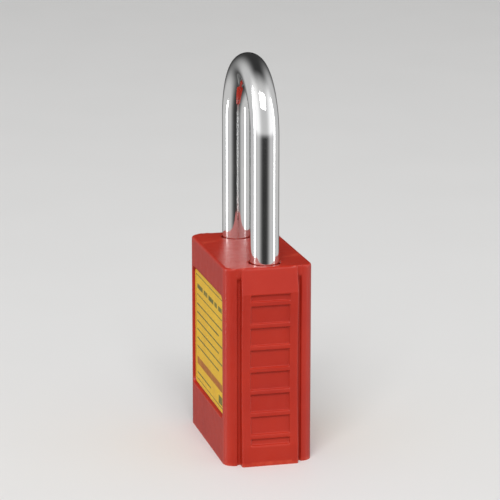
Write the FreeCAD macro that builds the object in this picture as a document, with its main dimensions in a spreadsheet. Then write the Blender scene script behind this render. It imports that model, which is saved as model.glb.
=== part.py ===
import FreeCAD, Part
import math
import os
import re
import Sketcher
from FreeCAD import Placement, Rotation, Vector

# Safety padlock: a moulded nylon body over a die-cast frame, a six-pin brass cylinder that turns a
# cam between two locking balls, and a round steel shackle that a spring lifts when it is freed.
# Millimetres. X runs from the heel leg (-X) to the toe leg (+X), Y through the thickness and Z up,
# with the origin in the middle of the underside. The shackle is down and the plug is at its
# unlocked end, a quarter turn before the end that drives the balls into the shackle's notches.

DIMENSIONS = [
    ("body_width", 38, "Body, across the legs, over the raised side panels"),
    ("body_depth", 20, "Body, front face to back face"),
    ("body_height", 45, "Body, underside to top"),
    ("strip_inset", 1.4, "Side panel stands this far out of the corner strips"),
    ("panel_width", 12.8, "Raised panel on each narrow side"),
    ("channel_width", 0.8, "Channels beside each panel, width"),
    ("channel_depth", 0.6, "Channels beside each panel, depth below the corner strips"),
    ("channel_top", 42.5, "Channels beside each panel, upper end"),
    ("overrun", 1, "How far a cutter runs past the surface it leaves"),
    ("corner_radius", 2.5, "Upright corners of the body"),
    ("rim_radius", 0.6, "Rounding of the body's top edge"),
    ("wall_side", 1.7, "Shell wall behind each side panel"),
    ("wall_face", 2.3, "Shell wall at the front and back"),
    ("wall_top", 2.5, "Shell wall at the top"),
    ("cavity_radius", 4.0, "Upright corners of the shell's cavity"),
    ("leg_hole_radius", 3.45, "Holes for the legs in the shell's top"),
    ("recess_width", 29.8, "Label recess, width"),
    ("recess_height", 28, "Label recess, height"),
    ("recess_bottom", 10.2, "Label recess, height of its lower edge"),
    ("recess_depth", 0.8, "Label recess, depth"),
    ("label_width", 29, "Label, width"),
    ("label_height", 27, "Label, height"),
    ("label_thickness", 0.25, "Label, thickness"),
    ("label_radius", 1.2, "Label, corners"),
    ("band_foot", 39.3, "Side panel leans back to the corner strips above this height"),
    ("grip_middle", 21.9, "Height of the finger grip's middle"),
    ("grip_hollow", 0.7, "Depth of the shallow hollow in each side panel"),
    ("grip_radius", 216, "Radius of the hollow"),
    ("grip_length", 34.2, "Ribbed field in the hollow, along Z"),
    ("grip_width", 8.8, "Ribbed field in the hollow, along Y"),
    ("rib_count", 7, "Level ribs across the field"),
    ("rib_pitch", 5.05, "Ribs, pitch"),
    ("rib_height", 1.1, "Ribs, along Z"),
    ("rib_relief", 0.45, "Ribs, height above the floor between them"),
    ("cover_bottom", 0.3, "Base cover, height of its underside"),
    ("cover_top", 2.5, "Base cover, height of its top"),
    ("drop_in", 0.1, "Gap round what is dropped into the shell"),
    ("snap_width", 6, "Snap bar on each end of the cover, along Y"),
    ("snap_reach", 0.5, "Snap bar, reach"),
    ("snap_bottom", 1.5, "Snap bar, height of its underside"),
    ("snap_height", 0.8, "Snap bar, height"),
    ("snap_gap", 0.05, "Gap round a snap bar in its groove"),
    ("leg_radius", 3.175, "Shackle steel, radius"),
    ("leg_offset", 13.175, "Leg axes, from the middle"),
    ("clear_height", 38, "Clear height inside the closed shackle"),
    ("toe_end", 33, "Height of the toe leg's end"),
    ("heel_end", 13.5, "Height of the heel leg's end"),
    ("leg_chamfer", 0.6, "Chamfer of the leg ends"),
    ("bore_radius", 3.25, "Leg bores and ball channel in the frame"),
    ("toe_bore_floor", 31, "Height of the toe bore's floor"),
    ("heel_bore_floor", 4.5, "Height of the heel bore's floor"),
    ("lift_slot_bottom", 15.9, "Heel leg's slot, lower end"),
    ("lift_slot_top", 32.2, "Heel leg's slot, upper end"),
    ("lift_slot_depth", 1.65, "Heel leg's slot, depth"),
    ("neck_height", 2.4, "Turned neck at the slot's lower end"),
    ("stop_pin_radius", 1.0, "Retaining pin, radius"),
    ("stop_pin_gap", 0.02, "Gap round the retaining pin"),
    ("stop_pin_offset", 10.6, "Retaining pin, distance from the middle"),
    ("stop_pin_height", 31, "Retaining pin, height"),
    ("ball_radius", 3.175, "Locking balls, radius"),
    ("ball_height", 37, "Locking balls, height"),
    ("ball_free", 6.675, "Ball centre from the middle, unlocked"),
    ("ball_locked", 8.325, "Ball centre from the middle, locked"),
    ("notch_radius", 3.3, "Notches in the legs, radius"),
    ("cam_gap", 0.08, "Gap between the cam and a ball"),
    ("cam_bottom", 33.2, "Actuator, underside of the cam"),
    ("cam_top", 40.6, "Actuator, top"),
    ("pocket_radius", 5.6, "Actuator pocket in the frame, radius"),
    ("pocket_top", 41, "Actuator pocket in the frame, top"),
    ("tongue_width", 2.3, "Actuator's driving tongue, width"),
    ("tongue_length", 8.4, "Actuator's driving tongue, length"),
    ("barrel_radius", 6.5, "Cylinder housing, radius"),
    ("barrel_bottom", 0.2, "Cylinder housing, height of its face"),
    ("barrel_top", 28, "Cylinder housing, height of its rear"),
    ("seat_gap", 0.05, "Gap between the cylinder and the frame"),
    ("face_chamfer", 0.3, "Cylinder housing, chamfer of the face"),
    ("tower_reach", 15, "Pin tower, from the plug's axis"),
    ("tower_width", 5.2, "Pin tower, width"),
    ("plug_radius", 4.7, "Plug, radius"),
    ("plug_gap", 0.05, "Plug's running gap"),
    ("plug_bottom", 0.3, "Plug, height of its face"),
    ("plug_top", 30.2, "Plug, height of its rear"),
    ("shoulder_radius", 5.4, "Plug's face shoulder, radius"),
    ("shoulder_height", 0.9, "Plug's face shoulder, height"),
    ("keyway_width", 1.8, "Keyway, width"),
    ("keyway_ward", 0.55, "Keyway, reach of the wards into it"),
    ("ward_length", 1.3, "Keyway, length of a ward's crest"),
    ("ward_slope", 0.5, "Keyway, length of a ward's slope"),
    ("near_ward", 1.55, "Keyway, near ward's middle, away from the pins"),
    ("far_ward", 0.45, "Keyway, far ward's middle, towards the pins"),
    ("keyway_low", 3.9, "Keyway, reach away from the pins"),
    ("keyway_high", 2.9, "Keyway, reach towards the pins"),
    ("keyway_depth", 25, "Keyway, depth from the plug's face"),
    ("clip_bottom", 28.1, "Plug clip, underside"),
    ("clip_height", 0.7, "Plug clip, thickness"),
    ("clip_radius", 5.3, "Plug clip, outer radius"),
    ("clip_inner", 4.15, "Plug clip, inner radius"),
    ("clip_opening", 4.6, "Plug clip, opening"),
    ("pin_radius", 1.25, "Key pins and driver pins, radius"),
    ("chamber_radius", 1.3, "Pin chambers, radius"),
    ("chamber_floor", 1.6, "Plug chambers, reach past the middle"),
    ("first_chamber", 5, "Height of the first pin chamber"),
    ("chamber_pitch", 3.2, "Pin chambers, pitch"),
    ("key_pin_top", 4.5, "Key pins, distance of the outer end from the plug's axis"),
    ("key_pin_tip", 0.7, "Key pins, length of the cone"),
    ("tip_radius", 0.45, "Key pins, radius of the tip"),
    ("driver_start", 4.85, "Driver pins, distance of the inner end from the plug's axis"),
    ("driver_length", 3.4, "Driver pins, length"),
    ("cap_start", 14.25, "Chamber cap, distance of the inner face from the plug's axis"),
    ("cap_width", 3.4, "Chamber cap, width"),
    ("cap_bottom", 3.05, "Chamber cap, lower end"),
    ("cap_length", 20.1, "Chamber cap, length"),
    ("cap_gap", 0.05, "Gap round the chamber cap"),
    ("screw_offset", 12.4, "Cylinder screw, from the plug's axis"),
    ("screw_radius", 1.25, "Cylinder screw, shank radius"),
    ("screw_gap", 0.1, "Gap round the cylinder screw's shank"),
    ("screw_tip_gap", 0.2, "Gap past the cylinder screw's tip"),
    ("screw_end", 24, "Cylinder screw, height of its tip"),
    ("head_radius", 2.2, "Cylinder screw, head radius"),
    ("head_height", 1.5, "Cylinder screw, head height"),
    ("socket_radius", 1.15, "Cylinder screw, hexagon socket, across corners"),
    ("socket_depth", 0.9, "Cylinder screw, depth of the socket"),
    ("spring_radius", 2.45, "Shackle spring, mean radius"),
    ("spring_wire", 0.4, "Shackle spring, wire radius"),
    ("spring_turns", 8, "Shackle spring, turns"),
    ("pin_spring_radius", 0.95, "Pin springs, mean radius"),
    ("pin_spring_wire", 0.18, "Pin springs, wire radius"),
    ("pin_spring_turns", 6, "Pin springs, turns"),
]
KEY_PIN_LENGTHS = [4.0, 5.2, 4.4, 5.6, 4.8, 3.7]
KEY_PINS = [(f"key_pin_length_{'abcdef'[index]}", length, f"Key pin {index + 1}, length")
            for index, length in enumerate(KEY_PIN_LENGTHS)]
SIZE = {alias: value for alias, value, meaning in DIMENSIONS + KEY_PINS}
SIDES = {"toe": 1, "heel": -1}
CAVITY_WIDTH = "(body_width - 2 * wall_side)"
CAVITY_DEPTH = "(body_depth - 2 * wall_face)"
SAME_PLACE = 0.01  # edges and corners this close to a plane count as lying on it
LEAST_UPRIGHT = 1  # an upright edge is longer than this
FLANK_POINTS = 13  # points that the curve of a cam flank passes through

doc = FreeCAD.newDocument("SafetyPadlock")
sheet = doc.addObject("Spreadsheet::Sheet", "Dims")
for row, (alias, value, meaning) in enumerate(DIMENSIONS + KEY_PINS, start=1):
    sheet.set(f"A{row}", meaning)
    sheet.set(f"B{row}", str(value))
    sheet.setAlias(f"B{row}", alias)
doc.recompute()
subparts = []


def formula(text):
    """The text with each name of a sheet cell turned into a reference to that cell."""
    def refer(word):
        name = word.group()
        return f"Dims.{name}" if name in SIZE else name

    return re.sub(r"[a-z][a-z_]+", refer, str(text))


def bind(item, **formulas):
    """Bind properties to formulas of the sheet's cells; a double underscore stands for a dot."""
    for name, text in formulas.items():
        item.setExpression(name.replace("__", "."), formula(text))


def keep(item, label):
    """Name the finished sub-part."""
    item.Label = label
    subparts.append(item)
    return item


# ---- sketches and features of a PartDesign body ----

def start_body(label):
    return keep(doc.addObject("PartDesign::Body", label), label)


def new_sketch(body, plane, offset="0"):
    """A sketch on one of the body's origin planes, moved along the plane's normal."""
    sketch = body.newObject("Sketcher::SketchObject", body.Name + "_sketch")
    support = next(item for item in body.Origin.OriginFeatures if item.Role == plane)
    sketch.AttachmentSupport = (support, [""])
    sketch.MapMode = "FlatFace"
    bind(sketch, AttachmentOffset__Base__z=offset)
    return sketch


def pin_point(sketch, geometry, point, across, up):
    """Fix a point of the sketch at two formulas from the sketch's origin."""
    for kind, text in (("DistanceX", across), ("DistanceY", up)):
        index = sketch.addConstraint(Sketcher.Constraint(kind, -1, 1, geometry, point, 1.0))
        sketch.setExpression(f"Constraints[{index}]", formula(text))


def outline(sketch, corners):
    """A closed outline of straight lines through corners given as formulas."""
    count = len(corners)
    spread = [Vector(math.cos(2 * math.pi * i / count), math.sin(2 * math.pi * i / count), 0)
              for i in range(count + 1)]
    lines = [sketch.addGeometry(Part.LineSegment(spread[i], spread[i + 1])) for i in range(count)]
    for i, line in enumerate(lines):
        sketch.addConstraint(Sketcher.Constraint("Coincident", line, 2, lines[(i + 1) % count], 1))
        pin_point(sketch, line, 1, *corners[i])


def rectangle(sketch, left, right, bottom, top):
    outline(sketch, [(left, bottom), (right, bottom), (right, top), (left, top)])


def centred_rectangle(sketch, width, height):
    rectangle(sketch, f"-({width}) / 2", f"({width}) / 2", f"-({height}) / 2", f"({height}) / 2")


def circle(sketch, across, up, radius):
    ring = sketch.addGeometry(Part.Circle(Vector(1, 1, 0), Vector(0, 0, 1), 1))
    pin_point(sketch, ring, 3, across, up)
    index = sketch.addConstraint(Sketcher.Constraint("Radius", ring, 1.0))
    sketch.setExpression(f"Constraints[{index}]", formula(radius))


def pad(body, sketch, length, both_ways=False, backwards=False):
    feature = body.newObject("PartDesign::Pad", body.Name + "_pad")
    feature.Profile = sketch
    feature.SideType = "Symmetric" if both_ways else "One side"
    feature.Reversed = backwards
    bind(feature, Length=length)
    doc.recompute()
    return feature


def pocket(body, sketch, depth, both_ways=False, along_normal=False):
    """Cut into the body, against the sketch's normal unless told otherwise; it must remove metal."""
    before = body.Shape.Volume
    feature = body.newObject("PartDesign::Pocket", body.Name + "_pocket")
    feature.Profile = sketch
    feature.SideType = "Symmetric" if both_ways else "One side"
    feature.Reversed = along_normal
    bind(feature, Length=depth)
    doc.recompute()
    if body.Shape.Volume >= before:
        raise ValueError(f"a pocket of {body.Label} cuts nothing")
    return feature


def bore(body, across, up, radius, low, high, plane="XY_Plane"):
    """A round hole square to a plane, between two heights along that plane's normal."""
    sketch = new_sketch(body, plane, low)
    circle(sketch, across, up, radius)
    return pocket(body, sketch, f"{high} - ({low})", along_normal=True)


def slot(body, left, right, width, low, high):
    """An upright rectangular hole, centred on the XZ plane."""
    sketch = new_sketch(body, "XY_Plane", low)
    rectangle(sketch, left, right, f"-({width}) / 2", f"({width}) / 2")
    return pocket(body, sketch, f"{high} - ({low})", along_normal=True)


def round_edges(body, radius, wanted, kind="Fillet", size="Radius"):
    """Round or chamfer the edges of the body that the test accepts."""
    tip = body.Tip
    names = [f"Edge{number}" for number, edge in enumerate(tip.Shape.Edges, start=1) if wanted(edge)]
    feature = body.newObject(f"PartDesign::{kind}", f"{body.Name}_{kind.lower()}")
    feature.Base = (tip, names)
    bind(feature, **{size: radius})
    doc.recompute()
    return feature


def upright_corner(across, through):
    """A test for upright edges that stand at the given distances from the middle planes."""
    def test(edge):
        ends = [vertex.Point for vertex in edge.Vertexes]
        return (len(ends) == 2 and abs(ends[0].z - ends[1].z) > LEAST_UPRIGHT
                and all(abs(abs(end.x) - across) < SAME_PLACE and abs(abs(end.y) - through) < SAME_PLACE
                        for end in ends))
    return test


# ---- shell, cover and labels ----

def shell_plan():
    """The body's plan: a raised panel on each narrow side, between two corner strips."""
    strip, face = "(body_width / 2 - strip_inset)", "(body_depth / 2)"
    side, edge = "(body_width / 2)", "(panel_width / 2)"
    quarter = [(side, edge), (strip, edge), (strip, face)]
    toe_far = list(quarter)
    heel_far = [(f"-{across}", through) for across, through in reversed(quarter)]
    heel_near = [(f"-{across}", f"-{through}") for across, through in quarter]
    toe_near = [(across, f"-{through}") for across, through in reversed(quarter)]
    return toe_far + heel_far + heel_near + toe_near


def cavity_corner(gap):
    """A test for the upright corners of the shell's cavity, or of a block that fits it with a gap."""
    return upright_corner(SIZE["body_width"] / 2 - SIZE["wall_side"] - gap,
                          SIZE["body_depth"] / 2 - SIZE["wall_face"] - gap)


def body_shell():
    """One moulding, open underneath, with a raised ribbed panel on each narrow side."""
    body = start_body("body_shell")
    plan = new_sketch(body, "XY_Plane")
    outline(plan, shell_plan())
    pad(body, plan, "body_height")
    strip_at = SIZE["body_width"] / 2 - SIZE["strip_inset"]
    round_edges(body, "corner_radius", upright_corner(strip_at, SIZE["body_depth"] / 2))
    round_edges(body, "rim_radius", lambda edge: edge.BoundBox.ZMin > SIZE["body_height"] - SAME_PLACE)

    cavity = new_sketch(body, "XY_Plane")
    centred_rectangle(cavity, CAVITY_WIDTH, CAVITY_DEPTH)
    pocket(body, cavity, "body_height - wall_top", along_normal=True)
    round_edges(body, "cavity_radius", cavity_corner(0))
    channels = new_sketch(body, "XY_Plane")
    for side_sign in SIDES.values():
        for face_sign in (1, -1):
            rectangle(channels, f"{side_sign} * (body_width / 2 - strip_inset - channel_depth)",
                      f"{side_sign} * body_width / 2",
                      f"{face_sign} * panel_width / 2", f"{face_sign} * (panel_width / 2 + channel_width)")
    pocket(body, channels, "channel_top", along_normal=True)
    for side_sign in SIDES.values():
        bore(body, f"{side_sign} * leg_offset", "0", "leg_hole_radius",
             "body_height - wall_top - overrun", "body_height")

    # The snap bars of the cover click into two short grooves just above the rim.
    catches = new_sketch(body, "XZ_Plane")
    for side_sign in SIDES.values():
        rectangle(catches, f"{side_sign} * (body_width / 2 - wall_side - drop_in)",
                  f"{side_sign} * (body_width / 2 - wall_side - drop_in + snap_reach + snap_gap)",
                  "snap_bottom - snap_gap", "snap_bottom + snap_height + snap_gap")
    pocket(body, catches, "snap_width + 2 * snap_gap", both_ways=True)

    for forwards in (True, False):
        recess = new_sketch(body, "XZ_Plane", f"{1 if forwards else -1} * body_depth / 2")
        rectangle(recess, "-recess_width / 2", "recess_width / 2",
                  "recess_bottom", "recess_bottom + recess_height")
        pocket(body, recess, "recess_depth", along_normal=not forwards)

    slopes = new_sketch(body, "XZ_Plane")
    for side_sign in SIDES.values():
        outline(slopes, [(f"{side_sign} * ({across})", up) for across, up in (
            ("body_width / 2", "band_foot"),
            ("body_width / 2 - strip_inset + rim_radius / 2", "body_height - rim_radius"),
            ("body_width / 2 - strip_inset - rim_radius / 2", "body_height + overrun"),
            ("body_width / 2 + overrun", "body_height + overrun"),
            ("body_width / 2 + overrun", "band_foot"))])
    pocket(body, slopes, "panel_width", both_ways=True)
    grip_fields(body)
    hollow = new_sketch(body, "XZ_Plane")
    for side_sign in SIDES.values():
        circle(hollow, f"{side_sign} * (body_width / 2 - grip_hollow + grip_radius)",
               "grip_middle", "grip_radius")
    pocket(body, hollow, "panel_width", both_ways=True)


def grip_fields(body):
    """The sunk fields above, between and below the ribs; their floors follow the hollow."""
    half_rib, half_grip = "rib_height / 2", "grip_length / 2"
    lowest = "-(rib_count - 1) / 2 * rib_pitch"
    ribs = [f"({lowest} + {index} * rib_pitch)" for index in range(SIZE["rib_count"])]
    floors = [f"(-{half_grip})"] + [f"({rib} + {half_rib})" for rib in ribs]
    ceilings = [f"({rib} - {half_rib})" for rib in ribs] + [f"({half_grip})"]
    fields = new_sketch(body, "XZ_Plane")
    for side_sign in SIDES.values():
        face = f"{side_sign} * (body_width / 2 + overrun)"
        for low, high in zip(floors, ceilings):
            low_depth, high_depth = [
                f"{side_sign} * (body_width / 2 - grip_hollow - rib_relief + {up} ^ 2 / (2 * grip_radius))"
                for up in (low, high)]
            outline(fields, [(face, f"grip_middle + {low}"), (low_depth, f"grip_middle + {low}"),
                             (high_depth, f"grip_middle + {high}"), (face, f"grip_middle + {high}")])
    pocket(body, fields, "grip_width", both_ways=True)


def base_cover():
    """The plate that closes the shell round the cylinder's face, held by two snap bars."""
    body = start_body("base_cover")
    plate = new_sketch(body, "XY_Plane", "cover_bottom")
    centred_rectangle(plate, f"{CAVITY_WIDTH} - 2 * drop_in", f"{CAVITY_DEPTH} - 2 * drop_in")
    pad(body, plate, "cover_top - cover_bottom")
    round_edges(body, "cavity_radius - drop_in", cavity_corner(SIZE["drop_in"]))
    bars = new_sketch(body, "XZ_Plane")
    for side_sign in SIDES.values():
        rectangle(bars, f"{side_sign} * (body_width / 2 - wall_side - overrun)",
                  f"{side_sign} * (body_width / 2 - wall_side - drop_in + snap_reach)",
                  "snap_bottom", "snap_bottom + snap_height")
    pad(body, bars, "snap_width", both_ways=True)
    bore(body, "0", "0", "barrel_radius + seat_gap", "cover_bottom", "cover_top")


def label(name, front):
    """A sheet glued to the floor of the front or back recess."""
    body = start_body(name)
    sheet_sketch = new_sketch(body, "XZ_Plane", f"{1 if front else -1} * (body_depth / 2 - recess_depth)")
    middle = "recess_bottom + recess_height / 2"
    rectangle(sheet_sketch, "-label_width / 2", "label_width / 2",
              f"{middle} - label_height / 2", f"{middle} + label_height / 2")
    pad(body, sheet_sketch, "label_thickness", backwards=not front)
    round_edges(body, "label_radius",
                lambda edge: abs(edge.BoundBox.YLength - SIZE["label_thickness"]) < SAME_PLACE)


# ---- frame ----

def lock_frame():
    """The die-cast block inside the shell that guides the legs, the balls and the cylinder."""
    body = start_body("lock_frame")
    block = new_sketch(body, "XY_Plane", "cover_top")
    centred_rectangle(block, f"{CAVITY_WIDTH} - 2 * drop_in", f"{CAVITY_DEPTH} - 2 * drop_in")
    pad(body, block, "body_height - wall_top - cover_top")
    round_edges(body, "cavity_radius - drop_in", cavity_corner(SIZE["drop_in"]))
    top = "body_height - wall_top"
    bore(body, "0", "0", "barrel_radius + seat_gap", "cover_top", "barrel_top")
    slot(body, "0", "tower_reach + 2 * seat_gap", "tower_width + 2 * seat_gap", "cover_top", "barrel_top")
    bore(body, "0", "0", "pocket_radius", "barrel_top - seat_gap", "pocket_top")
    bore(body, "-leg_offset", "0", "bore_radius", "heel_bore_floor", top)
    bore(body, "leg_offset", "0", "bore_radius", "toe_bore_floor", top)
    bore(body, "screw_offset", "0", "screw_radius + screw_gap",
         "barrel_top - seat_gap", "toe_bore_floor + seat_gap")
    bore(body, "0", "ball_height", "bore_radius", "-leg_offset", "leg_offset", "YZ_Plane")
    bore(body, "-stop_pin_offset", "stop_pin_height", "stop_pin_radius + stop_pin_gap",
         "-body_depth / 2", "body_depth / 2", "XZ_Plane")


def retaining_pin():
    """The cross pin that rides in the heel leg's slot and keeps the shackle in the frame."""
    pin = keep(doc.addObject("Part::Cylinder", "shackle_retaining_pin"), "shackle_retaining_pin")
    pin.Placement = Placement(Vector(), Rotation(Vector(1, 0, 0), -90))
    bind(pin, Radius="stop_pin_radius", Height=f"{CAVITY_DEPTH} - 2 * drop_in",
         Placement__Base__x="-stop_pin_offset", Placement__Base__z="stop_pin_height",
         Placement__Base__y="-(body_depth / 2 - wall_face - drop_in)")


# ---- shackle, balls and shackle spring ----

def shackle():
    """Round steel bent to a half circle, with a ball notch in each leg and a slotted, necked heel."""
    body = start_body("shackle")
    bend = "body_height + clear_height + leg_radius - leg_offset"
    for side, end in (("toe", "toe_end"), ("heel", "heel_end")):
        section = new_sketch(body, "XY_Plane", bend)
        circle(section, f"{SIDES[side]} * leg_offset", "0", "leg_radius")
        pad(body, section, f"{bend} - {end}", backwards=True)
        if side == "toe":
            bow = body.newObject("PartDesign::Revolution", "shackle_bow")
            bow.Profile = section
            bow.ReferenceAxis = (section, ["V_Axis"])
            bow.Angle = 180
            bow.Reversed = True
            doc.recompute()
    heights = [SIZE["toe_end"], SIZE["heel_end"]]
    round_edges(body, "leg_chamfer", lambda edge: edge.BoundBox.ZLength < SAME_PLACE
                and any(abs(edge.BoundBox.ZMin - height) < SAME_PLACE for height in heights),
                "Chamfer", "Size")

    notches = new_sketch(body, "XZ_Plane")
    for side_sign in SIDES.values():
        circle(notches, f"{side_sign} * ball_locked", "ball_height", "notch_radius")
    pocket(body, notches, "4 * leg_radius", both_ways=True)
    lift_slot = new_sketch(body, "XZ_Plane")
    rectangle(lift_slot, "-(leg_offset - leg_radius + lift_slot_depth)",
              "-(leg_offset - leg_radius - overrun)", "lift_slot_bottom", "lift_slot_top")
    pocket(body, lift_slot, "4 * leg_radius", both_ways=True)
    neck = new_sketch(body, "XY_Plane", "lift_slot_bottom")
    circle(neck, "-leg_offset", "0", "leg_radius + overrun")
    circle(neck, "-leg_offset", "0", "leg_radius - lift_slot_depth")
    pocket(body, neck, "neck_height", along_normal=True)


def locking_ball(side):
    ball = keep(doc.addObject("Part::Sphere", f"{side}_ball"), f"{side}_ball")
    bind(ball, Radius="ball_radius", Placement__Base__x=f"{SIDES[side]} * ball_free",
         Placement__Base__z="ball_height")


def coil_spring(name, turns, mean_radius, wire_radius, height, place, rotation=Rotation()):
    """A round wire swept along a helix that stands on the local origin, moved to its place."""
    helix = doc.addObject("Part::Helix", name + "_helix")
    bind(helix, Radius=mean_radius, Height=f"{height} - 2 * {wire_radius}",
         Pitch=f"({height} - 2 * {wire_radius}) / {turns}", Placement__Base__z=wire_radius)
    wire = doc.addObject("Part::Circle", name + "_wire")
    wire.Placement = Placement(Vector(), Rotation(Vector(1, 0, 0), 90))
    bind(wire, Radius=wire_radius, Placement__Base__x=mean_radius, Placement__Base__z=wire_radius)
    coil = keep(doc.addObject("Part::Sweep", name), name)
    coil.Sections = [wire]
    coil.Spine = (helix, [])
    coil.Solid = True
    coil.Frenet = True
    coil.Placement = Placement(Vector(), rotation)
    bind(coil, **place)


def shackle_spring():
    """The compression spring under the heel leg."""
    coil_spring("shackle_spring", "spring_turns", "spring_radius", "spring_wire",
                "(heel_end - heel_bore_floor)",
                {"Placement__Base__x": "-leg_offset", "Placement__Base__z": "heel_bore_floor"})


# ---- actuator ----

def cam_wire():
    """The cam's outline, symmetric under a half turn.

    The pitch curve is a spiral: the ball's centre moves out evenly as the cam turns a quarter turn.
    The flank is that spiral moved in by the ball's radius. A round land holds the locked ball, and a
    hollow round the free ball leads back to the foot of the next flank.
    """
    low, high = SIZE["ball_free"], SIZE["ball_locked"]
    growth = (high - low) / (math.pi / 2)
    reach = SIZE["ball_radius"] + SIZE["cam_gap"]

    def flank(angle):
        pitch = low + growth * angle
        along = Vector(math.cos(angle), math.sin(angle), 0)
        across = Vector(math.sin(angle), -math.cos(angle), 0)
        normal = (along * pitch + across * growth).normalize()
        return along * pitch - normal * reach

    foot, crest = flank(0), flank(math.pi / 2)
    land = crest.Length
    lip_x = (land ** 2 + low ** 2 - reach ** 2) / (2 * low)
    lip = Vector(lip_x, -math.sqrt(land ** 2 - lip_x ** 2), 0)
    half_turn = Rotation(Vector(0, 0, 1), 180)
    opposite_lip = half_turn.multVec(lip)
    land_middle = (crest + opposite_lip).normalize() * land

    curve = Part.BSplineCurve()
    curve.interpolate([flank(math.pi / 2 * step / (FLANK_POINTS - 1)) for step in range(FLANK_POINTS)])
    hollow = Part.Arc(lip, Vector(low - reach, 0, 0), foot)
    half = [hollow.toShape(), curve.toShape(), Part.Arc(crest, land_middle, opposite_lip).toShape()]
    turned = []
    for edge in half:
        copy = edge.copy()
        copy.rotate(Vector(), Vector(0, 0, 1), 180)
        turned.append(copy)
    return Part.Wire(half + turned), land


def actuator():
    """The cam between the balls, with a round foot and a tongue that the plug's rear slot turns."""
    outline_wire, land = cam_wire()
    outline_wire.translate(Vector(0, 0, SIZE["cam_bottom"]))
    cam = Part.Face(outline_wire).extrude(Vector(0, 0, SIZE["cam_top"] - SIZE["cam_bottom"]))
    foot = Part.makeCylinder(land, SIZE["cam_bottom"] - SIZE["plug_top"], Vector(0, 0, SIZE["plug_top"]))
    tongue_height = SIZE["plug_top"] - SIZE["clip_bottom"] - SIZE["clip_height"] - 2 * SIZE["plug_gap"]
    tongue = Part.makeBox(SIZE["tongue_length"], SIZE["tongue_width"], tongue_height,
                          Vector(-SIZE["tongue_length"] / 2, -SIZE["tongue_width"] / 2,
                                 SIZE["plug_top"] - tongue_height))
    piece = keep(doc.addObject("Part::Feature", "actuator"), "actuator")
    piece.Shape = cam.fuse([foot, tongue]).removeSplitter()
    piece.Placement = Placement()


# ---- cylinder ----

def chamber_height(index):
    return f"(first_chamber + {index} * chamber_pitch)"


def cylinder_housing():
    """The brass housing: a round barrel, and above the cover a tower over the pin chambers."""
    body = start_body("cylinder_housing")
    barrel = new_sketch(body, "XY_Plane", "barrel_bottom")
    circle(barrel, "0", "0", "barrel_radius")
    pad(body, barrel, "barrel_top - barrel_bottom")
    tower = new_sketch(body, "XY_Plane", "cover_top + seat_gap")
    rectangle(tower, "0", "tower_reach", "-tower_width / 2", "tower_width / 2")
    pad(body, tower, "barrel_top - cover_top - seat_gap")
    round_edges(body, "face_chamfer",
                lambda edge: abs(edge.BoundBox.ZMax - SIZE["barrel_bottom"]) < SAME_PLACE, "Chamfer", "Size")
    bore(body, "0", "0", "plug_radius + plug_gap", "barrel_bottom", "barrel_top")
    bore(body, "0", "0", "shoulder_radius + plug_gap", "barrel_bottom",
         "plug_bottom + shoulder_height + plug_gap")
    chambers = new_sketch(body, "YZ_Plane", "plug_radius - overrun")
    for index in range(len(KEY_PINS)):
        circle(chambers, "0", chamber_height(index), "chamber_radius")
    pocket(body, chambers, "tower_reach - plug_radius + overrun", along_normal=True)
    groove = new_sketch(body, "YZ_Plane", "cap_start - cap_gap")
    rectangle(groove, "-cap_width / 2 - cap_gap", "cap_width / 2 + cap_gap",
              "cap_bottom - cap_gap", "cap_bottom + cap_length + cap_gap")
    pocket(body, groove, "tower_reach - cap_start + cap_gap", along_normal=True)
    bore(body, "screw_offset", "0", "screw_radius + screw_gap", "screw_end - screw_tip_gap", "barrel_top")


def chamber_cap():
    """The strip that closes the pin chambers and carries the springs."""
    cap = keep(doc.addObject("Part::Box", "chamber_cap"), "chamber_cap")
    bind(cap, Length="tower_reach - cap_start", Width="cap_width", Height="cap_length",
         Placement__Base__x="cap_start", Placement__Base__y="-cap_width / 2",
         Placement__Base__z="cap_bottom")


def cylinder_screw():
    """The screw in the floor of the toe bore that holds the cylinder; it can be reached only when open."""
    shank = doc.addObject("Part::Cylinder", "screw_shank")
    bind(shank, Radius="screw_radius", Height="toe_bore_floor - screw_end + seat_gap",
         Placement__Base__x="screw_offset", Placement__Base__z="screw_end")
    head = doc.addObject("Part::Cylinder", "screw_head")
    bind(head, Radius="head_radius", Height="head_height",
         Placement__Base__x="screw_offset", Placement__Base__z="toe_bore_floor")
    socket = doc.addObject("Part::Prism", "screw_socket")
    bind(socket, Circumradius="socket_radius", Height="socket_depth + overrun",
         Placement__Base__x="screw_offset",
         Placement__Base__z="toe_bore_floor + head_height - socket_depth")
    solid = doc.addObject("Part::Fuse", "screw_solid")
    solid.Base = shank
    solid.Tool = head
    screw = keep(doc.addObject("Part::Cut", "cylinder_screw"), "cylinder_screw")
    screw.Base = solid
    screw.Tool = socket


def keyway_corners():
    """The keyway's section: a slot with one ward on each side, which the key's grooves pass over."""
    near, far = "-keyway_width / 2", "keyway_width / 2"
    crest, toe = "ward_length / 2", "(ward_length / 2 + ward_slope)"
    near_crest, far_crest = f"{near} + keyway_ward", f"{far} - keyway_ward"
    return [("-keyway_low", near),
            (f"-near_ward - {toe}", near), (f"-near_ward - {crest}", near_crest),
            (f"-near_ward + {crest}", near_crest), (f"-near_ward + {toe}", near),
            ("keyway_high", near), ("keyway_high", far),
            (f"far_ward + {toe}", far), (f"far_ward + {crest}", far_crest),
            (f"far_ward - {crest}", far_crest), (f"far_ward - {toe}", far),
            ("-keyway_low", far)]


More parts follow.
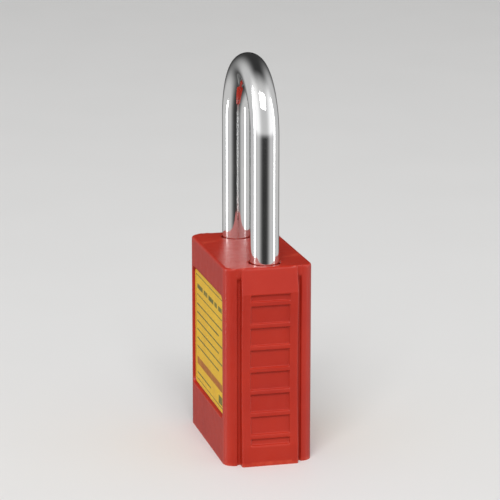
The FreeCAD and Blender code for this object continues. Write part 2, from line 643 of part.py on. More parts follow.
def plug():
    """The brass plug, with its keyway, pin chambers, clip groove and rear slot for the actuator."""
    body = start_body("plug")
    core = new_sketch(body, "XY_Plane", "plug_bottom")
    circle(core, "0", "0", "plug_radius")
    pad(body, core, "plug_top - plug_bottom")
    shoulder = new_sketch(body, "XY_Plane", "plug_bottom")
    circle(shoulder, "0", "0", "shoulder_radius")
    pad(body, shoulder, "shoulder_height")
    keyway = new_sketch(body, "XY_Plane", "plug_bottom")
    outline(keyway, keyway_corners())
    pocket(body, keyway, "keyway_depth", along_normal=True)
    slot(body, "-(plug_radius + overrun)", "plug_radius + overrun", "tongue_width + 2 * plug_gap",
         "clip_bottom + clip_height + plug_gap", "plug_top")
    groove = new_sketch(body, "XY_Plane", "clip_bottom - plug_gap")
    circle(groove, "0", "0", "plug_radius + overrun")
    circle(groove, "0", "0", "clip_inner - plug_gap")
    pocket(body, groove, "clip_height + 2 * plug_gap", along_normal=True)
    chambers = new_sketch(body, "YZ_Plane", "-chamber_floor")
    for index in range(len(KEY_PINS)):
        circle(chambers, "0", chamber_height(index), "chamber_radius")
    pocket(body, chambers, "chamber_floor + plug_radius + overrun", along_normal=True)


def plug_clip():
    """The open spring clip behind the housing that keeps the plug in."""
    body = start_body("plug_clip")
    ring = new_sketch(body, "XY_Plane", "clip_bottom")
    circle(ring, "0", "0", "clip_radius")
    circle(ring, "0", "0", "clip_inner")
    pad(body, ring, "clip_height")
    slot(body, "0", "-(clip_radius + overrun)", "clip_opening", "clip_bottom", "clip_bottom + clip_height")


def key_pin(index):
    """A pin with a blunt cone that rides the key, its outer end just inside the plug's surface."""
    name = f"key_pin_{index + 1}"
    length = KEY_PINS[index][0]
    shank = doc.addObject("Part::Cylinder", name + "_shank")
    cone = doc.addObject("Part::Cone", name + "_cone")
    for piece in (shank, cone):
        piece.Placement = Placement(Vector(), Rotation(Vector(0, 1, 0), 90))
    bind(shank, Radius="pin_radius", Height=f"{length} - key_pin_tip",
         Placement__Base__x=f"key_pin_top - {length} + key_pin_tip",
         Placement__Base__z=chamber_height(index))
    bind(cone, Radius1="tip_radius", Radius2="pin_radius", Height="key_pin_tip",
         Placement__Base__x=f"key_pin_top - {length}", Placement__Base__z=chamber_height(index))
    pin = keep(doc.addObject("Part::Fuse", name), name)
    pin.Base = shank
    pin.Tool = cone


def driver_pin(index):
    """A plain pin just outside the shear line."""
    name = f"driver_pin_{index + 1}"
    pin = keep(doc.addObject("Part::Cylinder", name), name)
    pin.Placement = Placement(Vector(), Rotation(Vector(0, 1, 0), 90))
    bind(pin, Radius="pin_radius", Height="driver_length",
         Placement__Base__x="driver_start", Placement__Base__z=chamber_height(index))


def pin_spring(index):
    """The spring between a driver pin and the chamber cap."""
    coil_spring(f"pin_spring_{index + 1}", "pin_spring_turns", "pin_spring_radius", "pin_spring_wire",
                "(cap_start - driver_start - driver_length)",
                {"Placement__Base__x": "driver_start + driver_length",
                 "Placement__Base__z": chamber_height(index)},
                Rotation(Vector(0, 1, 0), 90))


body_shell()
base_cover()
label("label_front", True)
label("label_back", False)
lock_frame()
retaining_pin()
shackle()
locking_ball("toe")
locking_ball("heel")
shackle_spring()
actuator()
cylinder_housing()
chamber_cap()
cylinder_screw()
plug()
plug_clip()
for chamber in range(len(KEY_PINS)):
    key_pin(chamber)
    driver_pin(chamber)
    pin_spring(chamber)
doc.recompute()

for item in doc.Objects:
    if "Invalid" in item.State or "Error" in item.State:
        raise ValueError(f"{item.Label} failed: {item.State}")
for item in subparts:
    if item.Shape.isNull() or not item.Shape.isValid():
        raise ValueError(f"{item.Label} has no valid shape")
    if len(item.Shape.Solids) != 1:
        raise ValueError(f"{item.Label} has {len(item.Shape.Solids)} solids")

os.makedirs("parts", exist_ok=True)
for item in subparts:
    item.Shape.exportStep(f"parts/{item.Label}.step")
    box = item.Shape.BoundBox
    print(f"{item.Label}: {item.Shape.Volume:.1f} mm3, x {box.XMin:.2f} {box.XMax:.2f}, "
          f"y {box.YMin:.2f} {box.YMax:.2f}, z {box.ZMin:.2f} {box.ZMax:.2f}")
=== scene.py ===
import math

import bmesh
import bpy
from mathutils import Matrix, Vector


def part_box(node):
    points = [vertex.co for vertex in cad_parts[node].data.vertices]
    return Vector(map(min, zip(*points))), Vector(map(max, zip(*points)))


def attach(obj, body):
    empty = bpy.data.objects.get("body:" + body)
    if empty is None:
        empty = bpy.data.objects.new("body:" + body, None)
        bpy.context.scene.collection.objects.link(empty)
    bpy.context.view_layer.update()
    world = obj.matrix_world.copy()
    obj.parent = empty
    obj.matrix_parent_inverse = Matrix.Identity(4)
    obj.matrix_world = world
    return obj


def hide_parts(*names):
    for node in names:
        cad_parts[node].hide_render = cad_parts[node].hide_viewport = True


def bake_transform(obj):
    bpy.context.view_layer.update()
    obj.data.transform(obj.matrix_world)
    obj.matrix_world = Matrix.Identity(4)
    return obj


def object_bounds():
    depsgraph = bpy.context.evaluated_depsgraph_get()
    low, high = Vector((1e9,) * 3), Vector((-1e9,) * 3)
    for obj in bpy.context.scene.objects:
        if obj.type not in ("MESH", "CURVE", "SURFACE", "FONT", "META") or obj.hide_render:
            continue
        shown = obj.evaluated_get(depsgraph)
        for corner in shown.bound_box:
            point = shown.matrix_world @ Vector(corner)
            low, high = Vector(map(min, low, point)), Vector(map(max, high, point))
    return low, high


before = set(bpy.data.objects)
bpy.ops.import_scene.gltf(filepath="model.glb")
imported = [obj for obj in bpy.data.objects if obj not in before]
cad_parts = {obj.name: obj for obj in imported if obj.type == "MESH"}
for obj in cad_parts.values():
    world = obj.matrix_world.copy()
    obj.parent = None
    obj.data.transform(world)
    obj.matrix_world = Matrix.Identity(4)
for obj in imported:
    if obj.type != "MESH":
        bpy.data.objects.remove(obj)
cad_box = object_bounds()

# A safety padlock standing on a pale floor, seen from the narrow side with the toe leg. Everything is
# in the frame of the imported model: X from heel leg to toe leg, Y front to back, Z up. Shapes are
# worked out in millimetres and written to the meshes in metres. Materials are worked out in metres.

MM = 0.001
LEG_RADIUS = 3.175


def box_mm(node):
    """A node's lowest and highest corner, in millimetres."""
    low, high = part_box(node)
    return low / MM, high / MM


# ---- mesh helpers ----

def make_piece(name, mesh, material, body=None):
    """Turn a bmesh drawn in millimetres into an object, which rides on a body if one is given."""
    bmesh.ops.scale(mesh, vec=(MM, MM, MM), verts=mesh.verts)
    data = bpy.data.meshes.new(name)
    mesh.to_mesh(data)
    mesh.free()
    data.materials.append(material)
    piece = bpy.data.objects.new(name, data)
    bpy.context.scene.collection.objects.link(piece)
    if body:
        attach(piece, body)
    return piece


def shade(piece, angle):
    """Smooth shading that stays crisp where faces meet at more than the angle, in degrees."""
    piece.data.shade_smooth()
    piece.data.set_sharp_from_angle(angle=math.radians(angle))


def add_ring(mesh, points):
    return [mesh.verts.new(point) for point in points]


def bridge(mesh, lower, upper):
    """Quads between two rings with the same number of vertices."""
    count = len(lower)
    for i in range(count):
        j = (i + 1) % count
        mesh.faces.new((lower[i], lower[j], upper[j], upper[i]))


def ring_edges(mesh, ring):
    """The edges round a ring, made where they are missing."""
    return [mesh.edges.get((ring[i], ring[i - 1])) or mesh.edges.new((ring[i], ring[i - 1]))
            for i in range(len(ring))]


def fill_flat(mesh, rings):
    """Triangles over the flat area between an outer ring and the rings of its holes."""
    edges = [edge for ring in rings for edge in ring_edges(mesh, ring)]
    bmesh.ops.triangle_fill(mesh, edges=edges, use_beauty=True)


def smoothstep(low, high, value):
    share = min(1.0, max(0.0, (value - low) / (high - low)))
    return share * share * (3 - 2 * share)


def steps(start, stop, spacing):
    """Evenly spaced values from start to stop, both included."""
    count = max(1, round(abs(stop - start) / spacing))
    return [start + (stop - start) * i / count for i in range(count + 1)]


def turned(vector, angle):
    """A flat vector turned to the left, by an angle in radians."""
    return Vector((vector.x * math.cos(angle) - vector.y * math.sin(angle),
                   vector.x * math.sin(angle) + vector.y * math.cos(angle)))


def rounded_outline(corners, marks=()):
    """Points and outward normals along a closed outline that turns left.

    Each corner is (x, y, radius). The straight runs get a point at each mark that they pass: marks
    are values of the coordinate that changes along the run.
    """
    wide_radius, fine_turn, coarse_turn = 1.0, math.radians(7.5), math.radians(15)
    clear_of_arcs = 0.02
    stations = []
    count = len(corners)
    for index, (x, y, radius) in enumerate(corners):
        corner = Vector((x, y))
        before = (corner - Vector(corners[index - 1][:2])).normalized()
        after = (Vector(corners[(index + 1) % count][:2]) - corner).normalized()
        turn = math.atan2(before.x * after.y - before.y * after.x, before.dot(after))
        setback = radius * math.tan(abs(turn) / 2)
        start = corner - before * setback
        side = Vector((-before.y, before.x)) * (1 if turn > 0 else -1)
        centre = start + side * radius
        arc = []
        for angle in steps(0, turn, fine_turn if radius > wide_radius else coarse_turn):
            along = turned(before, angle)
            arc.append((centre + turned(start - centre, angle), Vector((along.y, -along.x))))
        stations.append(arc)
    path = []
    for index, arc in enumerate(stations):
        path += arc
        start, normal = arc[-1]
        stop = stations[(index + 1) % count][0][0]
        axis = 0 if abs(stop.x - start.x) > abs(stop.y - start.y) else 1
        first = min(start[axis], stop[axis]) + clear_of_arcs
        last = max(start[axis], stop[axis]) - clear_of_arcs
        passed = sorted(mark for mark in marks if first < mark < last)
        if stop[axis] < start[axis]:
            passed.reverse()
        for mark in passed:
            share = (mark - start[axis]) / (stop[axis] - start[axis])
            path.append((start.lerp(stop, share), normal))
    return path


def rounded_rectangle(half_x, half_y, radius):
    return rounded_outline([(half_x, -half_y, radius), (half_x, half_y, radius),
                            (-half_x, half_y, radius), (-half_x, -half_y, radius)])


# ---- materials ----

def new_material(name, colour, roughness, metallic=0.0):
    material = bpy.data.materials.new(name)
    material.use_nodes = True
    shader = material.node_tree.nodes["Principled BSDF"]
    shader.inputs["Base Color"].default_value = (*colour, 1)
    shader.inputs["Roughness"].default_value = roughness
    shader.inputs["Metallic"].default_value = metallic
    return material


def add_node(material, kind, inputs=None, **settings):
    """A node with its settings; inputs hold numbers, colours or the output to link from."""
    node = material.node_tree.nodes.new(kind)
    for name, value in settings.items():
        setattr(node, name, value)
    for name, value in (inputs or {}).items():
        socket = node.inputs[name]
        if isinstance(value, bpy.types.NodeSocket):
            material.node_tree.links.new(value, socket)
        else:
            socket.default_value = value
    return node


def place(material):
    """The point's place in the model, in metres."""
    return add_node(material, "ShaderNodeTexCoord").outputs["Object"]


def noise(material, scale, detail, stretch=(1, 1, 1)):
    """Noise in the object's own space; scale is per metre."""
    mapping = add_node(material, "ShaderNodeMapping", {"Vector": place(material), "Scale": stretch})
    texture = add_node(material, "ShaderNodeTexNoise",
                       {"Vector": mapping.outputs["Vector"], "Scale": scale, "Detail": detail})
    return texture.outputs["Fac"]


def remap(material, value, low, high, from_low=0.3, from_high=0.7):
    """Noise, which mostly lies between from_low and from_high, spread from low to high."""
    node = add_node(material, "ShaderNodeMapRange", {
        "Value": value, "From Min": from_low, "From Max": from_high, "To Min": low, "To Max": high})
    return node.outputs["Result"]


def arithmetic(material, operation, first, second=0.0, clamp=False):
    node = add_node(material, "ShaderNodeMath", {0: first, 1: second},
                    operation=operation, use_clamp=clamp)
    return node.outputs["Value"]


def mix_colour(material, share, first, second):
    node = add_node(material, "ShaderNodeMix", data_type="RGBA")
    colour_sockets = [socket for socket in node.inputs if socket.type == "RGBA"]
    for socket, value in zip([node.inputs[0], *colour_sockets], (share, first, second)):
        if isinstance(value, bpy.types.NodeSocket):
            material.node_tree.links.new(value, socket)
        else:
            socket.default_value = (*value, 1)
    return next(socket for socket in node.outputs if socket.type == "RGBA")


def feed(material, socket, value):
    shader = material.node_tree.nodes["Principled BSDF"]
    material.node_tree.links.new(value, shader.inputs[socket])


def bump(material, height, distance, strength):
    node = add_node(material, "ShaderNodeBump",
                    {"Height": height, "Distance": distance, "Strength": strength})
    feed(material, "Normal", node.outputs["Normal"])


def red_nylon():
    """Moulded red nylon: faint mottling, a fine spark-eroded grain and paler, rubbed edges."""
    base, pale, deep = (0.42, 0.023, 0.009), (0.54, 0.06, 0.028), (0.37, 0.017, 0.007)
    material = new_material("red_nylon", base, 0.32)
    mottle = remap(material, noise(material, 90, 4), 0, 1)
    colour = mix_colour(material, mottle, deep, base)
    pointed = add_node(material, "ShaderNodeNewGeometry").outputs["Pointiness"]
    edge = remap(material, pointed, 0, 1, 0.52, 0.58)
    patchy = remap(material, noise(material, 700, 5), 0.1, 0.8)
    worn = arithmetic(material, "MULTIPLY", edge, patchy)
    feed(material, "Base Color", mix_colour(material, worn, colour, pale))
    feed(material, "Roughness", remap(material, noise(material, 400, 4), 0.29, 0.40))
    grain = arithmetic(material, "ADD", noise(material, 3800, 2),
                       arithmetic(material, "MULTIPLY", noise(material, 260, 2), 1.6))
    bump(material, grain, 0.00003, 0.35)
    shader = material.node_tree.nodes["Principled BSDF"]
    shader.inputs["IOR"].default_value = 1.52
    shader.inputs["Specular IOR Level"].default_value = 0.33
    shader.inputs["Subsurface Weight"].default_value = 0.04
    shader.inputs["Subsurface Radius"].default_value = (0.0012, 0.0003, 0.0002)
    shader.inputs["Subsurface Scale"].default_value = 1.0
    return material


def chrome():
    """Polished chrome plate with faint haze and hair-fine rub marks round the leg."""
    material = new_material("shackle_chrome", (0.80, 0.80, 0.79), 0.07, 1.0)
    haze = remap(material, noise(material, 120, 4), 0.045, 0.11)
    rubs = remap(material, noise(material, 1500, 3, (0.15, 0.15, 6)), 0, 0.05, 0.55, 0.75)
    feed(material, "Roughness", arithmetic(material, "ADD", haze, rubs))
    tint = remap(material, noise(material, 60, 2), 0, 1)
    feed(material, "Base Color", mix_colour(material, tint, (0.76, 0.765, 0.77), (0.84, 0.835, 0.82)))
    bump(material, noise(material, 220, 2), 0.00002, 0.25)
    return material


def metal(name, light, dark, roughness, grain_scale):
    """A plain metal with mottled grain."""
    material = new_material(name, light, roughness, 1.0)
    grain = noise(material, grain_scale, 4)
    feed(material, "Base Color", mix_colour(material, remap(material, grain, 0, 1), dark, light))
    feed(material, "Roughness", remap(material, noise(material, grain_scale * 0.6, 3),
                                      roughness * 0.8, roughness * 1.25))
    bump(material, grain, 0.00002, 0.4)
    return material


def turned_brass(name, light, dark):
    """Brass with fine turning rings round the plug's axis."""
    ring_pitch = 0.00016
    material = new_material(name, light, 0.33, 1.0)
    split = add_node(material, "ShaderNodeSeparateXYZ", {"Vector": place(material)})
    x, y = split.outputs["X"], split.outputs["Y"]
    radius = arithmetic(material, "SQRT", arithmetic(
        material, "ADD", arithmetic(material, "MULTIPLY", x, x), arithmetic(material, "MULTIPLY", y, y)))
    rings = arithmetic(material, "SINE", arithmetic(material, "MULTIPLY", radius, 2 * math.pi / ring_pitch))
    stain = remap(material, noise(material, 350, 5), 0, 1)
    feed(material, "Base Color", mix_colour(material, stain, dark, light))
    feed(material, "Roughness", remap(material, noise(material, 900, 3), 0.29, 0.38))
    bump(material, arithmetic(material, "ADD", rings, noise(material, 2500, 2)), 0.000006, 0.5)
    return material


# The label's print. A mark is a span of the label's height, from 0 to 1, then a span across it, from -1
# to 1: a header of blocks, rules under it, and a block at the foot in olive ink, and a brown bar.
HEADER_BLOCKS = ((-0.84, -0.46), (-0.39, -0.13), (-0.06, 0.28), (0.35, 0.52), (0.60, 0.84))
LABEL_MARKS = [((0.845, 0.885), span) for span in HEADER_BLOCKS]
LABEL_MARKS += [((0.785, 0.795), (-0.86, 0.86)), ((0.09, 0.105), (-0.86, 0.10)),
                ((0.06, 0.13), (0.62, 0.86))]
LABEL_MARKS += [((0.70 - 0.075 * rule, 0.714 - 0.075 * rule), (-0.86, 0.86 - 0.22 * (rule % 2)))
                for rule in range(6)]
LABEL_BAR = ((0.175, 0.24), (-0.86, 0.86))

# The line round the print: its span at each side, then its spans of the height at the foot and the head.
BORDER = (0.918, 0.934)
BORDER_FOOT, BORDER_HEAD = (0.036, 0.045), (0.955, 0.964)


def label_print():
    """Yellow vinyl with plain printed blocks and rules, drawn from the height and the width."""
    yellow, faded = (0.79, 0.485, 0.02), (0.71, 0.42, 0.02)
    ink, brown = (0.10, 0.11, 0.02), (0.36, 0.09, 0.012)
    material = new_material("label_print", yellow, 0.36)
    low, high = box_mm("label_front")
    split = add_node(material, "ShaderNodeSeparateXYZ", {"Vector": place(material)})
    facing = arithmetic(material, "SIGN", split.outputs["Y"])
    across = arithmetic(material, "DIVIDE", arithmetic(
        material, "MULTIPLY", split.outputs["X"], facing), -high.x * MM)
    up = arithmetic(material, "DIVIDE", arithmetic(
        material, "SUBTRACT", split.outputs["Z"], low.z * MM), (high.z - low.z) * MM)
    aside = arithmetic(material, "ABSOLUTE", across)

    def band(value, start, stop):
        above = arithmetic(material, "GREATER_THAN", value, start)
        below = arithmetic(material, "LESS_THAN", value, stop)
        return arithmetic(material, "MULTIPLY", above, below)

    def block(height_range, width_range):
        return arithmetic(material, "MULTIPLY", band(up, *height_range), band(across, *width_range))

    sides = arithmetic(material, "MULTIPLY", band(aside, *BORDER), band(up, BORDER_FOOT[0], BORDER_HEAD[1]))
    ends = arithmetic(material, "MULTIPLY", arithmetic(material, "LESS_THAN", aside, BORDER[1]),
                      arithmetic(material, "ADD", band(up, *BORDER_FOOT), band(up, *BORDER_HEAD)))
    printed = arithmetic(material, "ADD", sides, ends)
    for mark in LABEL_MARKS:
        printed = arithmetic(material, "ADD", printed, block(*mark), clamp=True)
    paper = mix_colour(material, remap(material, noise(material, 160, 4), 0, 1), faded, yellow)
    wear = remap(material, noise(material, 350, 2), 0.75, 1.0)
    barred = mix_colour(material, arithmetic(material, "MULTIPLY", block(*LABEL_BAR), wear), paper, brown)
    inked = arithmetic(material, "MULTIPLY", printed, wear)
    feed(material, "Base Color", mix_colour(material, inked, barred, ink))
    feed(material, "Roughness", remap(material, noise(material, 300, 3), 0.29, 0.44))
    bump(material, noise(material, 500, 2), 0.00003, 0.2)
    shader = material.node_tree.nodes["Principled BSDF"]
    shader.inputs["Specular IOR Level"].default_value = 0.25
    return material


# ---- shell ----

# Half sizes and heights of the shell. The sides are the narrow ones, the faces the wide ones.
SHELL = {
    "side": 19.0, "strip": 17.6, "face": 10.0, "top": 45.0,
    "panel": 6.4, "channel_floor": 17.0, "channel_far": 7.2, "channel_top": 42.5,
    "band_foot": 39.3, "band_top": 17.75,
    "grip_middle": 21.9, "hollow": 0.7, "hollow_reach": 17.4,
    "grip": 4.4, "grip_reach": 17.1, "grip_edge": 0.14, "relief": 0.45,
    "ribs": 7, "rib_pitch": 5.05, "rib_half": 0.55, "rib_flank": 0.16,
    "recess": 14.9, "recess_low": 10.2, "recess_height": 28.0, "recess_depth": 0.8, "recess_corner": 1.5,
}


def shell_outline():
    """The body's plan: corner strips, and a panel between two channels on each narrow side.

    Its marks are close together where the ribbed field and the label recess end.
    """
    side, strip, face = SHELL["side"], SHELL["strip"], SHELL["face"]
    edge, floor, far = SHELL["panel"], SHELL["channel_floor"], SHELL["channel_far"]
    step, bend, lip, upright = 0.45, 0.22, 0.22, 2.5
    quarter = [(side, edge, step), (floor, edge, bend), (floor, far, bend), (strip, far, lip),
               (strip, face, upright)]
    corners = [(x, -y, radius) for x, y, radius in reversed(quarter)] + quarter
    corners += [(-x, y, radius) for x, y, radius in reversed(quarter)]
    corners += [(-x, -y, radius) for x, y, radius in quarter]
    grip, recess = SHELL["grip"], SHELL["recess"]
    # Runs of marks, each with its start, stop and spacing.
    over_side = ((0.4, grip - 0.7, 0.8), (grip - 0.3, grip + 0.3, 0.1), (grip + 0.6, edge - step, 0.3))
    over_face = ((7.2, recess - 2.3, 1.0), (recess - 1.9, recess + 0.1, 0.08))
    marks = [sign * value for sign in (-1, 1) for run in over_side + over_face for value in steps(*run)]
    return rounded_outline(corners, marks)


def recess_share(across, up):
    """How far a point of a wide face is sunk: 0 outside the label recess, 1 on its floor."""
    radius, floor_edge, face_edge = SHELL["recess_corner"], -0.24, 0.10
    half_width, half_height = SHELL["recess"], SHELL["recess_height"] / 2
    middle = SHELL["recess_low"] + half_height
    aside = abs(across) - half_width + radius
    above = abs(up - middle) - half_height + radius
    outside = math.hypot(max(aside, 0), max(above, 0)) + min(max(aside, above), 0) - radius
    return 1 - smoothstep(floor_edge, face_edge, outside)


def panel_depth(across, up):
    """How deep a point of a side panel lies: leaning band, shallow hollow and ribbed field."""
    lean = SHELL["side"] - SHELL["band_top"]
    rise = max(0.0, up - SHELL["band_foot"]) / (SHELL["top"] - SHELL["band_foot"])
    from_middle = up - SHELL["grip_middle"]
    depth = lean * rise
    depth += SHELL["hollow"] * max(0.0, 1 - (from_middle / SHELL["hollow_reach"]) ** 2)
    grip, reach, edge = SHELL["grip"], SHELL["grip_reach"], SHELL["grip_edge"]
    field = 1 - smoothstep(grip - edge, grip + edge, abs(across))
    field *= 1 - smoothstep(reach - edge, reach + edge, abs(from_middle))
    phase = (from_middle / SHELL["rib_pitch"] + 0.5) % 1 - 0.5
    from_rib = abs(phase) * SHELL["rib_pitch"]
    half, flank = SHELL["rib_half"], SHELL["rib_flank"]
    return depth + SHELL["relief"] * field * smoothstep(half - flank, half + flank, from_rib)


def least_reach(across, up):
    """The least distance in X of a side from the middle: it closes the channels near the top."""
    past_channel, below_top, above_top = 0.3, 0.9, 0.5
    if abs(across) > SHELL["channel_far"] + past_channel:
        return 0.0
    closed = smoothstep(SHELL["channel_top"] - below_top, SHELL["channel_top"] + above_top, up)
    return SHELL["channel_floor"] + (SHELL["strip"] - SHELL["channel_floor"]) * closed


def rim_share(x, y):
    """The rim is rounded fully on the wide faces and the middle of the panels, less by the channels."""
    face_end, least, near, far = SHELL["channel_floor"] - 1.5, 0.3, 0.7, 2.0
    if abs(x) < face_end:
        return 1.0
    from_channel = abs(abs(y) - (SHELL["panel"] + SHELL["channel_far"]) / 2)
    return least + (1 - least) * smoothstep(near, far, from_channel)


def shell_heights(start, stop):
    """Levels of the shell's rings: close together at rib flanks, field ends and recess corners."""
    middle, reach, half = SHELL["grip_middle"], SHELL["grip_reach"], SHELL["rib_half"]
    recess_low = SHELL["recess_low"]
    recess_high = recess_low + SHELL["recess_height"]
    band_foot, channel_top = SHELL["band_foot"], SHELL["channel_top"]
    coarse, channel_spacing, recess_spacing, fine, nearest = 0.5, 0.2, 0.1, 0.08, 0.04
    past_flank, past_end, past_recess, corner_zone = 0.2, 0.16, 0.14, 1.7
    levels = steps(start, stop, coarse)
    for index in range(SHELL["ribs"]):
        rib = middle + (index - (SHELL["ribs"] - 1) / 2) * SHELL["rib_pitch"]
        levels += [rib + side * offset for side in (-1, 1)
                   for offset in steps(half - past_flank, half + past_flank, fine)]
    for end in (middle - reach, middle + reach):
        levels += steps(end - past_end, end + past_end, fine)
    levels += steps(recess_low - past_recess, recess_low + corner_zone, recess_spacing)
    levels += steps(recess_high - corner_zone, recess_high + past_recess, recess_spacing)
    levels += steps(channel_top - 1.0, channel_top + 0.6, channel_spacing)
    chosen = [band_foot]
    for level in sorted(levels):
        if abs(level - band_foot) > nearest and (len(chosen) < 2 or level - chosen[-1] > nearest):
            chosen.append(level)
    return sorted(chosen)


def shell_row(outline, height, inset=0.0):
    """One level ring of the shell's outside. The inset rounds the top and bottom edges."""
    flat, slack, wall_top = 0.999, 0.01, SHELL["side"] - 0.3
    points = []
    for point, normal in outline:
        x, y = point
        side = 1 if x > 0 else -1
        if abs(normal.y) > flat:
            y -= normal.y * SHELL["recess_depth"] * recess_share(x, height)
        if abs(x) > SHELL["channel_floor"] - slack:
            if abs(y) < SHELL["panel"] + slack:
                share = smoothstep(SHELL["channel_floor"], wall_top, abs(x))
                x -= side * share * panel_depth(y, height)
            x = side * max(abs(x), least_reach(y, height))
        depth = inset * rim_share(point.x, point.y)
        points.append((x - normal.x * depth, y - normal.y * depth, height))
    return points


def circle_points(x, radius, height, count=96):
    angles = [2 * math.pi * i / count for i in range(count)]
    return [(x + radius * math.cos(angle), radius * math.sin(angle), height) for angle in angles]


def build_shell(material):
    """The red moulding, as a closed skin: outside, top with two leg holes, rim and cavity."""
    frame_high = box_mm("lock_frame")[1]
    toe_axis = box_mm("shackle")[1].x - LEG_RADIUS
    top, ceiling = SHELL["top"], frame_high.z
    rim, foot, turn, flat = 0.6, 0.45, 15, 0.06
    outline = shell_outline()
    mesh = bmesh.new()
    rings = []
    for angle in steps(0, 90, turn):
        drop = foot * (1 - math.sin(math.radians(angle)))
        rings.append(shell_row(outline, drop, foot * (1 - math.cos(math.radians(90 - angle)))))
    rings += [shell_row(outline, height) for height in shell_heights(foot + 0.25, top - rim)]
    for angle in steps(turn, 90, turn):
        rise = rim * math.sin(math.radians(angle))
        rings.append(shell_row(outline, top - rim + rise, rim * (1 - math.cos(math.radians(angle)))))
    rings.append(shell_row(outline, top, rim + flat))
    rows = [add_ring(mesh, ring) for ring in rings]
    for lower, upper in zip(rows, rows[1:]):
        bridge(mesh, lower, upper)

    hole, lip, collar = 3.45, 0.35, 0.08
    holes_top, holes_under = [], []
    for x in (toe_axis, -toe_axis):
        column = [circle_points(x, hole + lip + collar, top)]
        column += [circle_points(x, hole + lip * (1 - math.cos(math.radians(angle))),
                                 top - lip + lip * math.sin(math.radians(angle)))
                   for angle in steps(90, 0, turn)]
        column.append(circle_points(x, hole, ceiling))
        walls = [add_ring(mesh, ring) for ring in column]
        for lower, upper in zip(walls, walls[1:]):
            bridge(mesh, lower, upper)
        holes_top.append(walls[0])
        holes_under.append(walls[-1])
    fill_flat(mesh, [rows[-1], *holes_top])

    gap, corner = 0.1, 4.0
    cavity = rounded_rectangle(frame_high.x + gap, frame_high.y + gap, corner)
    # The cavity's mouth is rounded: how far it spreads, and at what height.
    mouth = ((0.25, 0.0), (0.18, 0.08), (0.05, 0.2), (0.0, 0.3))
    inner_rows = [add_ring(mesh, [(point.x + normal.x * spread, point.y + normal.y * spread, height)
                                  for point, normal in cavity])
                  for spread, height in (*mouth, (0.0, ceiling))]
    for lower, upper in zip(inner_rows, inner_rows[1:]):
        bridge(mesh, lower, upper)
    fill_flat(mesh, [inner_rows[-1], *holes_under])
    fill_flat(mesh, [rows[0], inner_rows[0]])
    bmesh.ops.recalc_face_normals(mesh, faces=mesh.faces)
    piece = make_piece("shell", mesh, material, "body")
    shade(piece, 50)
    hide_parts("body_shell")


# ---- shackle ----

# The legs' cuts. The notches are arcs round the balls, the slot and the neck are the heel leg's.
LEG = {
    "toe_end": 33.0, "chamfer": 0.6,
    "ball_x": 8.325, "ball_z": 37.0, "notch": 3.3,
    "slot_low": 15.9, "slot_high": 32.2, "slot_x": 11.65,
    "neck_radius": 1.525, "neck_high": 18.3,
}


def leg_point(centre_x, angle, radius, height, inward):
    """A point of a leg's surface after the ball notch, the heel slot and the neck are cut.

    inward is the sign of the direction in X that points to the middle of the lock; only the heel leg,
    where it is positive, has the slot and the neck.
    """
    if inward > 0 and LEG["slot_low"] <= height <= LEG["neck_high"]:
        radius = min(radius, LEG["neck_radius"])
    x = centre_x + radius * math.cos(angle)
    y = radius * math.sin(angle)
    limit = None
    reach = LEG["notch"] ** 2 - (height - LEG["ball_z"]) ** 2
    if reach > 0:
        limit = LEG["ball_x"] + math.sqrt(reach)
    elif inward > 0 and LEG["slot_low"] <= height <= LEG["slot_high"]:
        limit = LEG["slot_x"]
    if limit is not None and -inward * x < limit:
        x = -inward * limit
    return (x, y, height)


def leg_levels(end, bend, heel):
    """Heights of a leg's rings: close together at the ball notch, in pairs at sharp steps."""
    low, high = LEG["ball_z"] - LEG["notch"], LEG["ball_z"] + LEG["notch"]
    sharp, inside = 0.001, 0.01
    leg_spacing, slot_spacing, end_spacing, neck_spacing, notch_spacing = 1.4, 0.8, 0.4, 0.3, 0.07
    levels = steps(low + inside, high - inside, notch_spacing) + steps(high + 0.3, bend - 1, leg_spacing)
    if not heel:
        return levels
    slot_low, slot_high, neck_high = LEG["slot_low"], LEG["slot_high"], LEG["neck_high"]
    below = steps(end + 0.8, slot_low - 0.2, end_spacing) + [slot_low - sharp]
    neck = [slot_low + sharp] + steps(slot_low + neck_spacing, neck_high - sharp, neck_spacing)
    slot = [neck_high + sharp] + steps(neck_high + 0.5, slot_high - sharp, slot_spacing)
    return below + neck + slot + [slot_high + sharp] + levels


def build_shackle(material):
    """Round steel bow from the heel's end over the bend to the toe's end."""
    low, high = box_mm("shackle")
    radius, count, chamfer, tip = LEG_RADIUS, 96, LEG["chamfer"], 0.02
    axis = high.x - radius
    bend = high.z - high.x
    mesh = bmesh.new()
    angles = [2 * math.pi * i / count for i in range(count)]

    def leg(end, centre_x, inward):
        rings = [(end, tip), (end, radius - chamfer), (end + chamfer, radius)]
        rings += [(height, radius) for height in leg_levels(end, bend, inward > 0)]
        return [[leg_point(centre_x, angle, spread, height, inward) for angle in angles]
                for height, spread in rings]

    rings = leg(low.z, -axis, 1)
    for turn in steps(math.pi, 0, math.radians(2)):
        spoke = Vector((math.cos(turn), 0, math.sin(turn)))
        rings.append([Vector((0, radius * math.sin(angle), bend))
                      + spoke * (axis - radius * math.cos(angle)) for angle in angles])
    toe = leg(LEG["toe_end"], axis, -1)
    rings += [[row[(count // 2 - i) % count] for i in range(count)] for row in reversed(toe)]
    rows = [add_ring(mesh, ring) for ring in rings]
    for lower, upper in zip(rows, rows[1:]):
        bridge(mesh, lower, upper)
    for end in (rows[0], rows[-1]):
        mesh.faces.new(end)
    bmesh.ops.recalc_face_normals(mesh, faces=mesh.faces)
    piece = make_piece("shackle_bow", mesh, material, "shackle")
    shade(piece, 40)
    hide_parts("shackle")


